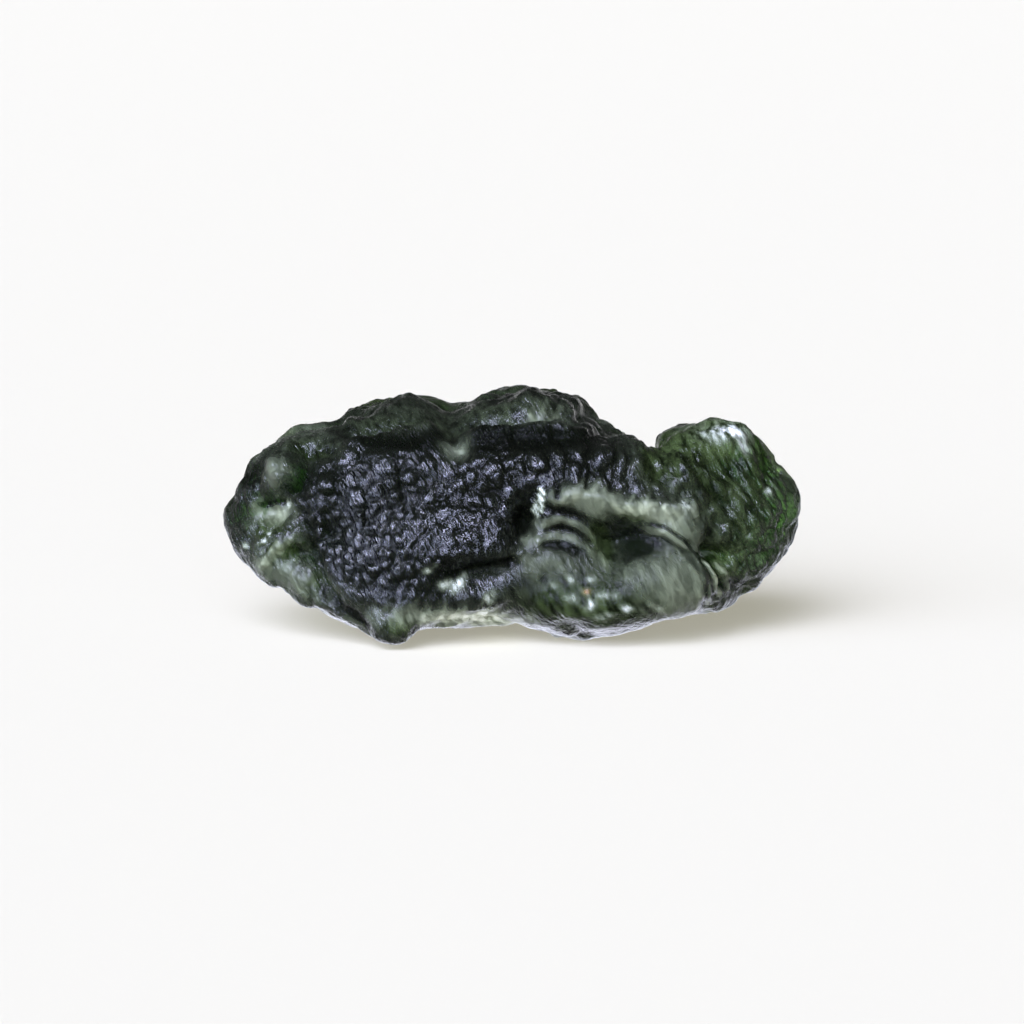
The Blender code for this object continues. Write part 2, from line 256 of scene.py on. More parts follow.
def line_distance(x, y, points):
    """The distance from each place to the nearest point of a bent line, in drawing units."""
    nearest = np.full_like(x, 1e9)
    for (x0, y0), (x1, y1) in zip(points, points[1:]):
        run = ((x - x0) * (x1 - x0) + (y - y0) * (y1 - y0)) / ((x1 - x0) ** 2 + (y1 - y0) ** 2)
        run = np.clip(run, 0, 1)
        away = (x - x0 - run * (x1 - x0)) ** 2 + (y - y0 - run * (y1 - y0)) ** 2
        nearest = np.minimum(nearest, away)
    return np.sqrt(nearest)


def strokes(x, y, table):
    """Adds up grooves and ridges: each falls off as exp(-r^2) with the distance to its line."""
    total = np.zeros_like(x)
    for points, half_width, height in table:
        total += height * np.exp(-((line_distance(x, y, points) / half_width) ** 2))
    return total


print(len(FRONT_LUMPS), "lumps and", len(FRONT_STROKES), "strokes shape the front")

# %% [markdown]
# ## Uneven skin
# No two knobs are alike, so noise fills in what isn't placed one by one. Smooth noise blends random
# numbers on a lattice. Cell borders, the lines midway between scattered seeds, give the
# grooves that the acid of the soil cut between one knob and the next.

# %% Noise
SWELL_MM, SWELL_SIZE_MM = 0.20, 2.8
KNOB_SIZE_MM = 2.3
KNOB_GROOVE_MM, KNOB_GROOVE_SHARE = 0.34, 0.22
FRONT_KNOB_SHARE = 0.25
OUTLINE_CALM, OUTLINE_WIDTH = 0.6, 0.15
NORMAL_STEP = 0.05
NOISE_SEED = 7
TIP_FADE = 0.35
# Noise that bends the swell and the grooves: its pace, where it starts, how far it bends each
BEND_PACE, BEND_START, SWELL_BEND, GROOVE_BEND = 0.7, 9.1, 0.6, 0.35
# The swell is higher at the back than on the face
BACK_SWELL, FACE_SWELL = 1.6, 0.6


def lattice_value(ix, iy, iz, seed):
    """Gives a repeatable number from 0 to 1 for each whole-number point of a lattice."""
    n = (ix * 73856093) ^ (iy * 19349663) ^ (iz * 83492791) ^ (seed * 2654435)
    n = ((n ^ (n >> 13)) * 1274126177) & 0x7FFFFFFF
    return ((n ^ (n >> 15)) & 0xFFFF) / 0xFFFF


def soft_noise(p, seed):
    """Smooth noise from -1 to 1: random numbers on a lattice, blended with an S-shaped weight."""
    cell = np.floor(p).astype(np.int64)
    t = p - cell
    t = t * t * (3 - 2 * t)
    total = np.zeros(len(p))
    for corner in np.ndindex(2, 2, 2):
        weight = np.prod(np.where(np.array(corner) == 1, t, 1 - t), axis=1)
        total += weight * lattice_value(*(cell + corner).T, seed)
    return 2 * total - 1


def cells(p, seed):
    """For each point the distances to the nearest and the second nearest of many scattered
    seeds, and a number from 0 to 1 that belongs to the nearest one."""
    cell = np.floor(p).astype(np.int64)
    nearest, second = np.full(len(p), 9.0), np.full(len(p), 9.0)
    own = np.zeros(len(p))
    for offset in np.ndindex(3, 3, 3):
        spot = cell + np.array(offset) - 1
        scatter = np.stack([lattice_value(*spot.T, seed + 31 * axis) for axis in range(3)], axis=1)
        away = np.linalg.norm(spot + scatter - p, axis=1)
        own = np.where(away < nearest, scatter[:, 0], own)
        second = np.minimum(second, np.maximum(nearest, away))
        nearest = np.minimum(nearest, away)
    return nearest, second, own


print("the noise swells every", SWELL_SIZE_MM, "mm")


# %% The large relief as a function
def coarse_relief(angle, c, x, y, depth):
    """Height in mm above the plain form: the drawn lumps and strokes, plus two sizes of smooth
    noise, less a groove along the border of each noise cell, plus a low mound at each resting
    spot. All fade out towards the two tips."""
    front = soft_step(-0.10, 0.30, c)
    face = soft_step(0.40, 0.80, c)
    relief = front * (lumps(x, y, FRONT_LUMPS) + strokes(x, y, FRONT_STROKES))
    relief += (1 - front) * (lumps(x, y, BACK_LUMPS) + strokes(x, y, BACK_STROKES))
    p = np.stack([x * UNIT_MM, y * UNIT_MM, depth], axis=1)
    q = p / SWELL_SIZE_MM
    bend = np.stack([soft_noise(q * BEND_PACE + BEND_START, NOISE_SEED + i) for i in range(3)], axis=1)
    swell = soft_noise(q + SWELL_BEND * bend, NOISE_SEED + 3)
    swell += 0.5 * soft_noise(2.1 * q + bend, NOISE_SEED + 4)
    calm = 1 - OUTLINE_CALM * np.exp(-((c / OUTLINE_WIDTH) ** 2))
    relief += calm * SWELL_MM * swell * (BACK_SWELL - (BACK_SWELL - FACE_SWELL) * face)
    nearest, second, _ = cells(p / KNOB_SIZE_MM + GROOVE_BEND * bend, NOISE_SEED + 5)
    groove = np.exp(-(((second - nearest) / KNOB_GROOVE_SHARE) ** 2))
    relief -= calm * KNOB_GROOVE_MM * groove * (1 - (1 - FRONT_KNOB_SHARE) * soft_step(0.05, 0.50, c))
    for foot_x, foot_y, foot_depth, half_width, height in FEET:
        away = ((x - foot_x) ** 2 + (y - foot_y) ** 2) * UNIT_MM**2 + (depth - foot_depth) ** 2
        relief += height * np.exp(-away / (half_width * UNIT_MM) ** 2)
    return relief * np.clip(np.sin(angle) / TIP_FADE, 0, 1)


def base_point(angle, around):
    """The plain form in space, in millimetres."""
    return place(*base_form(angle, np.cos(around), np.sin(around)))


def outward(angle, around):
    """The plain form's outward direction, from its slopes along and around the stone, taken
    over a step wide enough to keep neighbouring directions alike at the sharp rims."""
    safe = np.clip(angle, 2 * NORMAL_STEP, pi - 2 * NORMAL_STEP)
    along = base_point(safe + NORMAL_STEP, around) - base_point(safe - NORMAL_STEP, around)
    round_it = base_point(safe, around + NORMAL_STEP) - base_point(safe, around - NORMAL_STEP)
    normal = np.cross(along, round_it)
    return normal / np.linalg.norm(normal, axis=1, keepdims=True)


# %% [markdown]
# ## The fine relief
# The dark front face is packed with low knobs from 0.3 to 1.2 mm wide, each cut off from the next by a
# crease, and a few longer grooves run across it in arcs. The larger knobs are placed one by one and smaller
# ones fill the space between. The right end has slanting streaks, the lower bulges are almost smooth, and
# thin ripples cross the corner below the lobe. Masks say where each kind of skin lies. This could be a bump
# map, but real height also shapes the outline and what is seen through the glass. Creases are worked out
# too, to paint shade into them: the material reflects little there.

# %% Where each kind of skin lies, as soft ellipses: x, y, half width, half height, turn
KNOB_PATCHES = [
    (420, 520, 124, 74, 0), (598, 464, 104, 27, 3), (287, 474, 20, 18, 0), (310, 510, 26, 34, -8),
]
STREAK_PATCHES = [(728, 500, 66, 76, 0), (672, 470, 30, 30, 0)]
SMOOTH_PATCHES = [
    (600, 590, 104, 42, 0), (668, 575, 48, 46, 20), (590, 535, 68, 36, 0), (470, 614, 76, 12, 0),
]
UPPER_PATCHES = [(480, 436, 140, 17, 0)]
ARC_PATCHES = [(455, 533, 54, 24, 8)]
# Painted shade: dark hollows, the pit, the upper margin and the left end reflect as little as a crease
SHADE_PATCHES = UPPER_PATCHES + [
    (478, 571, 38, 10, -5), (526, 522, 9, 22, 12), (250, 476, 14, 12, 0), (240, 518, 10, 18, 0),
]
# Knobs outside the face that are spared the painted shade, so they shine like those on it: x, y, half
# width, half height, turn, share
SHEEN_LUMPS = [
    (697, 531, 6, 16, 14, 0.55), (722, 532, 6, 16, 14, 0.55), (684, 508, 8, 9, -30, 0.45),
    (742, 556, 10, 16, 20, 0.35), (752, 506, 10, 12, 0, 0.25), (620, 546, 14, 12, 0, 0.25),
]
PATCH_EDGE = (0.80, 1.20)


def patches(x, y, table):
    """How much each place belongs to a group of soft ellipses, from 0 to 1: the edge of an
    ellipse is spread over a fifth of its size each way."""
    best = np.zeros_like(x)
    for ellipse in table:
        best = np.maximum(best, 1 - soft_step(*PATCH_EDGE, np.hypot(*in_ellipse(x, y, *ellipse))))
    return best


print(len(KNOB_PATCHES), "patches of knobs,", len(SMOOTH_PATCHES), "smooth ones")

# %% Knobs large enough to be placed one by one: x, y, half width, half height, turn, mm
FRONT_KNOBS = [
    (280, 469, 7, 7, 0, 0.34), (293, 468, 7, 8, 0, 0.36), (289, 482, 9, 7, 0, 0.34),
    (355, 454, 8, 9, 0, 0.19), (386, 463, 15, 12, 15, 0.27), (403, 463, 5, 8, -20, 0.14),
    (329, 486, 8, 10, -15, 0.24), (311, 489, 6, 7, 0, 0.14), (301, 503, 6, 9, -30, 0.19),
    (290, 506, 5, 10, -40, 0.16), (309, 518, 6, 7, -30, 0.19), (323, 504, 6, 8, -20, 0.16),
    (344, 492, 5, 10, -20, 0.16), (356, 500, 9, 9, 0, 0.19), (392, 484, 6, 7, -20, 0.19),
    (396, 498, 7, 7, 0, 0.19), (376, 492, 6, 8, -20, 0.16), (361, 516, 7, 10, -20, 0.22),
    (350, 533, 7, 8, -20, 0.19), (320, 545, 6, 7, 0, 0.19), (330, 548, 4, 6, -20, 0.14),
    (340, 545, 5, 8, -25, 0.19), (326, 560, 6, 7, -20, 0.16), (352, 569, 6, 9, -30, 0.22),
    (364, 558, 5, 9, -25, 0.16), (384, 516, 7, 9, -20, 0.16), (318, 532, 5, 6, 0, 0.14),
    (412, 479, 7, 9, -15, 0.19), (430, 469, 8, 11, -25, 0.22), (446, 468, 6, 8, -20, 0.14),
    (475, 462, 7, 5, 0, 0.16), (492, 472, 10, 10, -10, 0.27), (458, 484, 7, 7, -15, 0.19),
    (432, 497, 8, 8, -20, 0.19), (482, 486, 6, 8, -30, 0.16), (490, 499, 6, 8, -30, 0.16),
    (512, 492, 7, 8, 0, 0.19), (522, 488, 6, 9, -10, 0.16), (517, 473, 5, 7, 0, 0.14),
    (536, 462, 9, 11, -15, 0.24), (555, 456, 8, 14, -20, 0.24), (572, 473, 7, 9, -20, 0.19),
    (575, 449, 10, 9, 20, 0.22), (595, 463, 9, 12, -5, 0.27), (595, 483, 8, 8, 0, 0.19),
    (548, 486, 5, 5, 0, 0.14), (505, 511, 7, 11, -20, 0.19), (457, 513, 12, 6, 10, 0.14),
    (615, 470, 6, 9, 0, 0.22), (632, 470, 7, 10, -20, 0.22), (618, 490, 6, 7, 0, 0.16),
    (636, 491, 6, 6, 0, 0.16), (665, 450, 6, 5, 20, 0.14),
]
print(len(FRONT_KNOBS), "knobs are placed one by one")

# %% Smaller knobs that fill the space between them
# Spacing across and down; half width, half height, turn and mm; the area's two corners
FILL_SPACING = (10.5, 12.5)
FILL_KNOB = (4.8, 6.8, -24, 0.12)
FILL_AREA = (264, 440, 700, 600)
# How far a knob may stray, as a share of the spacing, and how clear of a placed one it stays
FILL_SHAKE, FILL_SEED = 0.7, 17
FILL_CLEAR = (3, 4)


def fill_knobs(placed):
    """Small knobs on a shaken grid, every other row moved by half a step, leaving out those that
    would sit on a placed knob. Size and height vary by a quarter and by a half either way."""
    wide, high, turn, tall = FILL_KNOB
    clear_x, clear_y = FILL_CLEAR
    filled = []
    for row, y in enumerate(np.arange(FILL_AREA[1], FILL_AREA[3], FILL_SPACING[1])):
        for column, x in enumerate(np.arange(FILL_AREA[0], FILL_AREA[2], FILL_SPACING[0])):
            shake = [float(lattice_value(row, column, axis, FILL_SEED)) for axis in range(4)]
            at_x = x + FILL_SPACING[0] * (0.5 * (row % 2) + FILL_SHAKE * (shake[0] - 0.5))
            at_y = y + FILL_SPACING[1] * FILL_SHAKE * (shake[1] - 0.5)
            away = [
                ((at_x - k[0]) / (k[2] + clear_x)) ** 2 + ((at_y - k[1]) / (k[3] + clear_y)) ** 2
                for k in placed
            ]
            if min(away) > 1:
                size = 0.75 + 0.5 * shake[2]
                filled.append((at_x, at_y, wide * size, high * size, turn, tall * (0.5 + shake[3])))
    return filled


ALL_KNOBS = FRONT_KNOBS + fill_knobs(FRONT_KNOBS)
print(len(ALL_KNOBS), "with those that fill the face")

# %% Packing knobs side by side
# How wide the creases are, how much higher the upper side of a knob is, how round its top is
CREASE_SHARE, KNOB_TILT, KNOB_ROUND = 0.58, 0.25, 0.30


def cobbles(x, y, table):
    """Knobs packed side by side, each place belonging to the knob that is nearest for its size:
    r is the distance to a knob's centre in half widths, nearest and second are the two least.
    A knob is a low dome, and height falls to nothing at the crease where the two are equal.
    Gives the height, and how much of a crease each place is, from 0 to 1."""
    nearest, second = np.full_like(x, 9.0), np.full_like(x, 9.0)
    high = np.zeros_like(x)
    for *ellipse, height in table:
        across, down = in_ellipse(x, y, *ellipse)
        r = np.hypot(across, down)
        closer = r < nearest
        second = np.where(closer, nearest, np.minimum(second, r))
        high = np.where(closer, height * (1 - KNOB_TILT * down), high)
        nearest = np.minimum(nearest, r)
    crease = np.exp(-(((second - nearest) / CREASE_SHARE) ** 2))
    return high * (1 - crease) * (1 - KNOB_ROUND * np.minimum(nearest, 1.5) ** 2), crease


# %% Long arcs, short creases and ripples of the front: points, half width, mm
FINE_STROKES = [
    ([(400, 513), (416, 513), (436, 508), (450, 502), (463, 502), (477, 508), (491, 515), (501, 524),
      (512, 542)], 2.7, -0.12),
    ([(402, 521), (420, 521), (440, 516), (452, 509), (466, 509), (482, 516), (496, 529)], 2.5, 0.06),
    ([(472, 503), (482, 505), (492, 512), (502, 520)], 1.9, -0.06),
    ([(412, 546), (426, 534), (436, 527), (446, 524)], 2.4, -0.11),
    ([(456, 531), (468, 527), (481, 527), (483, 540)], 2.3, -0.1),
    ([(456, 532), (459, 546)], 2.3, -0.09), ([(366, 508), (371, 526), (378, 542)], 3.0, -0.12),
    ([(338, 479), (342, 492), (338, 506)], 2.7, -0.12), ([(326, 512), (329, 532)], 3.0, -0.11),
    ([(339, 528), (346, 544), (354, 556)], 3.0, -0.11),
    ([(362, 450), (363, 464), (360, 476)], 3.0, -0.11), ([(386, 488), (389, 503)], 2.4, -0.1),
    ([(403, 470), (403, 486), (402, 502)], 2.4, -0.12), ([(422, 470), (428, 482)], 2.3, -0.09),
    ([(300, 516), (309, 530), (308, 548), (314, 566), (320, 586), (334, 598), (352, 606),
      (370, 622)], 5.0, -0.3),
    ([(306, 462), (305, 476), (300, 488), (286, 491)], 4.0, -0.22),
    ([(545, 446), (549, 460), (553, 474)], 3.4, -0.15),
    ([(585, 440), (586, 462), (583, 488)], 3.2, -0.14),
    ([(561, 442), (566, 458), (563, 480)], 2.7, -0.12), ([(523, 460), (528, 475)], 2.9, -0.12),
    ([(556, 483), (556, 497)], 3.6, -0.17), ([(506, 470), (511, 482)], 2.4, -0.09),
    ([(606, 446), (609, 470), (606, 492)], 2.9, -0.14),
    ([(624, 462), (623, 480), (627, 494)], 2.5, -0.09),
    ([(641, 462), (647, 480), (650, 498)], 3.4, -0.15),
    ([(652, 474), (664, 488), (680, 500)], 5.5, -0.3),
    ([(445, 567), (480, 566), (510, 562)], 7.0, -0.3),
    ([(545, 509), (562, 512), (580, 518), (592, 526), (601, 538)], 5.0, -0.24),
    ([(543, 525), (560, 518), (576, 523), (590, 534), (601, 552)], 6.0, 0.1),
    ([(545, 530), (560, 526), (575, 531), (586, 541)], 4.0, -0.2),
    ([(528, 540), (550, 536), (570, 539), (586, 548), (602, 562)], 6.0, 0.1),
    ([(544, 545), (560, 542), (577, 549)], 5.0, -0.2),
    ([(524, 549), (540, 549), (558, 557)], 5.0, 0.08),
    ([(636, 522), (660, 526), (682, 541), (698, 560)], 3.2, -0.16),
    ([(630, 534), (660, 537), (684, 551), (698, 572), (700, 604)], 3.2, -0.14),
    ([(640, 529), (662, 532), (684, 546), (698, 566)], 3.4, 0.06),
    ([(680, 540), (694, 556), (703, 572)], 1.8, -0.1),
    ([(678, 550), (690, 566), (697, 584)], 1.6, -0.07),
    ([(696, 560), (704, 576), (707, 590), (711, 597)], 2.3, -0.15),
    ([(703, 560), (710, 574), (713, 586), (720, 594)], 2.2, 0.14),
    ([(711, 566), (717, 578), (723, 590)], 2.2, -0.16),
    ([(716, 565), (724, 570), (726, 581), (730, 590)], 2.0, 0.13),
    ([(735, 582), (736, 587)], 4.5, -0.28), ([(702, 555), (724, 556)], 5.5, -0.45),
    ([(674, 452), (680, 470), (690, 486)], 5.0, 0.18),
    ([(688, 462), (696, 478), (708, 492)], 3.6, -0.16),
    ([(706, 474), (714, 486), (720, 496)], 4.0, 0.14), ([(722, 488), (736, 502)], 5.0, 0.12),
    ([(700, 518), (694, 530), (692, 546)], 5.0, 0.16),
    ([(712, 520), (707, 534), (707, 546)], 4.0, -0.18),
    ([(724, 518), (718, 530), (716, 542)], 5.0, 0.16),
    ([(284, 500), (294, 508), (302, 518)], 3.2, 0.14),
    ([(258, 504), (268, 500), (284, 502)], 4.0, -0.18),
    ([(264, 562), (276, 548), (292, 540), (304, 544)], 4.5, 0.18),
    ([(272, 536), (256, 545)], 3.6, 0.12), ([(292, 556), (308, 562)], 5.0, -0.24),
]
print(len(FINE_STROKES), "fine strokes cross the front")

# %% Kinds of knob outside the face
# Each kind of knob: height, width and stretched length in mm, lean of its long side in degrees,
# how domed it is, how deep its creases are, and the seed of its noise
STREAK_KNOB = (0.17, 0.52, 1.30, -32, 1.4, 0.4, 41)
BACK_KNOB = (0.19, 0.95, 1.15, 10, 1.6, 0.35, 61)
GRAIN_KNOB = (0.036, 0.20, 0.38, -28, 1.2, 0.4, 81)
# A dome's middle, the width of its creases, and the noise that bends the cells as above
DOME_TOP, CELL_CREASE = 0.75, 0.20
CELL_BEND = (0.8, 3.3, 0.25)


def knobs(p, kind):
    """Domed knobs in mm: a constant less the squared distance to the nearest seed point, so that
    each is a small bowl upside down with a crease to its neighbours. No two are equally high.
    Also gives how much of a crease each place is, from 0 to 1."""
    height, wide, long, turn, dome, groove, seed = kind
    pace, start, reach = CELL_BEND
    a, b = cos(radians(turn)), sin(radians(turn))
    u = (p[:, 0] * a - p[:, 1] * b) / wide
    v = (p[:, 1] * a + p[:, 0] * b) / long
    q = np.stack([u, v, p[:, 2] / wide], axis=1)
    bend = np.stack([soft_noise(q * pace + start, seed + i) for i in range(3)], axis=1)
    nearest, second, own = cells(q + reach * bend, seed + 5)
    crease = np.exp(-(((second - nearest) / CELL_CREASE) ** 2))
    return height * ((0.5 + own) * (DOME_TOP - dome * nearest**2) - groove * crease), crease


print("streaks are", STREAK_KNOB[1], "mm wide and", STREAK_KNOB[2], "mm long")

# %% The fine relief as a function
# Natural grooves wander: how far in drawing units, over what length in mm, and the seed
WANDER, WANDER_SEED = [(3.2, 1.4), (1.4, 0.42)], 91
# Gentle unevenness of the whole skin: height and size in mm, and the seed
UNEVEN, UNEVEN_SEED = [(0.07, 1.3), (0.035, 0.55)], 95
# The drawn relief varies in height: its middle share, how far that varies, size in mm, seed
STRENGTH = (0.80, 0.35, 0.7, 97)
FINE_CALM, FINE_CALM_WIDTH = 0.75, 0.34
# How much painted shade each kind of skin's creases get, where 1 reflects almost nothing
FACE_DARK, STREAK_DARK, REST_DARK, GRAIN_DARK = 0.85, 0.6, 0.5, 0.35
# A drawn groove gets painted shade by its share of a depth in mm, up to the most
GROOVE_FULL_MM, GROOVE_DARK = 0.16, 0.85
# Painted shade dims the reflections of the front outside the face, of the streaks and the smooth skin even
# more
SHADE_OUTSIDE, SHADE_STREAK, SHADE_SMOOTH = 0.45, 0.32, 0.40


def wandered(x, y, p):
    """The drawing's x and y moved by smooth noise, so that lines and knobs come out uneven."""
    for reach, size in WANDER:
        aside, down = soft_noise(p / size, WANDER_SEED), soft_noise(p / size, WANDER_SEED + 1)
        x, y = x + reach * aside, y + reach * down
    return x, y


def fine_relief(angle, c, x, y, depth):
    """Height in mm of the small knobs, creases and grain above the large relief, and how much painted shade
    each place gets, in its creases, over the front outside the face and in the shaded patches. Each kind of
    skin counts by its mask. The relief is calmer where the stone turns away, so that the outline stays
    smooth."""
    p = np.stack([x * UNIT_MM, -y * UNIT_MM, depth], axis=1)
    front = soft_step(-0.05, 0.35, c)
    uneven_x, uneven_y = wandered(x, y, p)
    packed, packed_crease = np.zeros_like(x), np.zeros_like(x)
    seen = c > -0.1
    packed[seen], packed_crease[seen] = cobbles(uneven_x[seen], uneven_y[seen], ALL_KNOBS)
    drawn = strokes(uneven_x, uneven_y, FINE_STROKES)
    knob = patches(x, y, KNOB_PATCHES) * front
    streak = patches(x, y, STREAK_PATCHES) * front * (1 - knob)
    smooth = patches(x, y, SMOOTH_PATCHES) * front * (1 - knob)
    upper = patches(x, y, UPPER_PATCHES) * front
    arc = patches(x, y, ARC_PATCHES) * front
    rest = np.clip(1 - knob - streak - smooth, 0, 1)
    face = knob * (1 - 0.6 * upper) * (1 - 0.4 * arc)
    streak_high, streak_crease = knobs(p, STREAK_KNOB)
    back_high, back_crease = knobs(p, BACK_KNOB)
    grain_high, grain_crease = knobs(p, GRAIN_KNOB)
    relief = streak * streak_high + rest * (1 - 0.5 * front) * back_high
    relief += (1 - 0.60 * smooth) * grain_high
    relief *= 1 - FINE_CALM * np.exp(-((c / FINE_CALM_WIDTH) ** 2))
    relief += sum(high * soft_noise(p / size, UNEVEN_SEED) for high, size in UNEVEN)
    middle, more, size, seed = STRENGTH
    relief += (front * drawn + face * packed) * (middle + more * soft_noise(p / size, seed))
    # Painted shade: in the creases, then over the front outside the face, then lifted from the knobs that
    # shine in it, then in the shaded patches
    crease = FACE_DARK * face * np.clip(1.2 * packed_crease, 0, 1)
    crease += STREAK_DARK * streak * streak_crease
    crease += REST_DARK * rest * back_crease
    crease = np.maximum(crease, GRAIN_DARK * (1 - smooth) * grain_crease)
    crease = np.maximum(crease, front * np.clip(-drawn / GROOVE_FULL_MM, 0, GROOVE_DARK))
    painted_dim = np.clip(SHADE_OUTSIDE + SHADE_STREAK * streak + SHADE_SMOOTH * smooth, 0, 1)
    crease = np.maximum(crease, front * painted_dim * (1 - knob))
    crease -= front * lumps(x, y, SHEEN_LUMPS)
    crease = np.maximum(crease, front * patches(x, y, SHADE_PATCHES))
    return relief * np.clip(np.sin(angle) / (0.6 * TIP_FADE), 0, 1), np.clip(crease, 0, 1)


print("fine relief is calmed by", FINE_CALM, "at the outline")

# %% [markdown]
# ## The mesh
# The surface is a grid of two angles, closed at the stone's two tips. Rows are spread between
# equal angles and equal lengths, and columns lie closer at the front, where the relief is
# finest. The whole grid is worked out as arrays and handed to Blender in one go.

# %% The grid of the two angles
ROWS = 350
COLUMNS = 284
ROW_EVENNESS = 0.8
FRONT_CROWDING = 0.42


def grid_angles():
    """Angles along and around for every point but the two tips: row by row, front first."""
    share = np.arange(1, ROWS) / ROWS
    along = (1 - ROW_EVENNESS) * pi * share + ROW_EVENNESS * np.arccos(1 - 2 * share)
    turn = 2 * pi * np.arange(COLUMNS) / COLUMNS
    around = turn - FRONT_CROWDING * np.sin(turn)
    return np.repeat(along, COLUMNS), np.tile(around, ROWS - 1)


def grid_faces():
    """Four corners for each cell of the grid, and a fan of triangles round each tip."""
    row, column = np.meshgrid(np.arange(ROWS - 2), np.arange(COLUMNS), indexing="ij")
    beside = (column + 1) % COLUMNS
    here, there = row * COLUMNS + column, row * COLUMNS + beside
    quads = np.stack([here, here + COLUMNS, there + COLUMNS, there], axis=-1).reshape(-1, 4)
    ring = np.arange(COLUMNS)
    after = (ring + 1) % COLUMNS
    left, right = (ROWS - 1) * COLUMNS, (ROWS - 1) * COLUMNS + 1
    last = (ROWS - 2) * COLUMNS
    left_fan = np.stack([np.full(COLUMNS, left), ring, after], axis=1)
    right_fan = np.stack([np.full(COLUMNS, right), last + after, last + ring], axis=1)
    return quads, np.concatenate([left_fan, right_fan])


angle, around = grid_angles()
angle = np.append(angle, [0.0, pi])
around = np.append(around, [0.0, 0.0])
quads, fans = grid_faces()
print(len(angle), "points,", 2 * len(quads) + len(fans), "triangles")


# %% The stone's points
def set_down(points):
    """Lowers the stone by the depth of its worn resting spots, flattens them at Z = 0, and
    centres its box over the origin. Gives the points and the shift."""
    shift = np.zeros(3)
    shift[2] = -(points[:, 2].min() + FOOT_CUT_MM)
    shift[:2] = -(points[:, :2].min(axis=0) + points[:, :2].max(axis=0)) / 2
    points = points + shift
    points[:, 2] = np.maximum(points[:, 2], 0)
    return points, shift


cos_around, sin_around = np.cos(around), np.sin(around)
draw_x, draw_y, depth = base_form(angle, cos_around, sin_around)
height = coarse_relief(angle, cos_around, draw_x, draw_y, depth)
fine_height, crease = fine_relief(angle, cos_around, draw_x, draw_y, depth)
height += fine_height
raw = place(draw_x, draw_y, depth) + outward(angle, around) * height[:, None]
points, shift = set_down(raw)
print("size, mm:", (points.max(axis=0) - points.min(axis=0)).round(2), "shift:", shift.round(3))

# %% [markdown]
# ## Where the skin is etched matt
# Some patches are pale because the etching left them matt: they scatter light like ground glass. Others are
# greener, whiter or rust-stained, and some of that is painted light: white glints and highlights, a white
# painted reflection along the low edge, and a green painted glow on the lobe's top. Their places follow the
# relief, so they are worked out per point and kept in the mesh as attributes, which the material reads. A
# texture painted by hand would do the same, but it would have to be kept as an image.

# %% Matt, green and rust-stained places: lumps and strokes with a strength in place of a height
MATT_LUMPS = [
    (672, 584, 36, 32, 10, 0.55), (630, 566, 30, 10, 0, 0.2), (586, 505, 20, 9, 34, 0.5),
    (634, 512, 22, 7, 12, 0.3), (566, 547, 14, 4, 14, -0.35), (545, 562, 34, 12, 0, 0.3),
    (466, 611, 60, 8, 0, 1.1), (270, 512, 15, 11, 0, 1.1), (456, 444, 10, 12, 0, 0.5),
    (660, 521, 26, 12, 25, 0.6), (284, 475, 12, 12, 0, 0.46), (742, 528, 40, 46, 0, 0.09),
    (540, 409, 30, 8, 0, 0.6), (712, 424, 40, 4, 8, 0.35), (295, 578, 42, 12, 18, 0.4),
    (362, 620, 14, 8, 20, 0.4), (622, 541, 24, 15, -10, -1.0), (578, 602, 46, 16, 0, -0.35),
]
MATT_STROKES = [
    ([(556, 500), (568, 493), (588, 491), (602, 499), (620, 508), (645, 508), (665, 514),
      (684, 508)], 7, 0.6),
    ([(540, 525), (560, 518), (576, 523), (590, 534), (601, 552)], 5.5, 0.38),
    ([(526, 540), (550, 536), (570, 539), (586, 548), (602, 562)], 5.5, 0.38),
    ([(640, 529), (662, 532), (684, 546), (696, 566), (700, 590), (704, 604)], 6, 0.35),
    ([(703, 560), (710, 574), (713, 586), (720, 594)], 2.2, 0.75),
    ([(716, 565), (724, 570), (726, 581), (730, 590)], 2.0, 0.65),
    ([(264, 562), (276, 548), (290, 540)], 6, 0.5), ([(250, 455), (282, 432), (320, 424)], 8, 0.2),
]
# Green places: a greener skin, and on the lobe's top a painted glow that stands for light through thin
# glass
GREEN_LUMPS = [
    (722, 462, 62, 40, 0, 0.4), (704, 436, 50, 14, 3, 1.3), (400, 410, 60, 12, 0, 0.3),
    (520, 402, 60, 9, 0, 0.25), (740, 530, 44, 50, 0, 0.3), (656, 464, 18, 18, 0, 0.55),
    (724, 562, 14, 12, 30, 0.8), (632, 514, 16, 8, 0, 0.5), (600, 540, 12, 22, -20, 0.6),
    (268, 528, 18, 10, 0, 0.65), (280, 552, 18, 14, 0, 0.5), (580, 600, 60, 24, 0, 0.6),
    (310, 445, 24, 12, 0, 0.35), (318, 588, 14, 9, 20, 0.5), (400, 619, 13, 8, 0, 0.7),
]
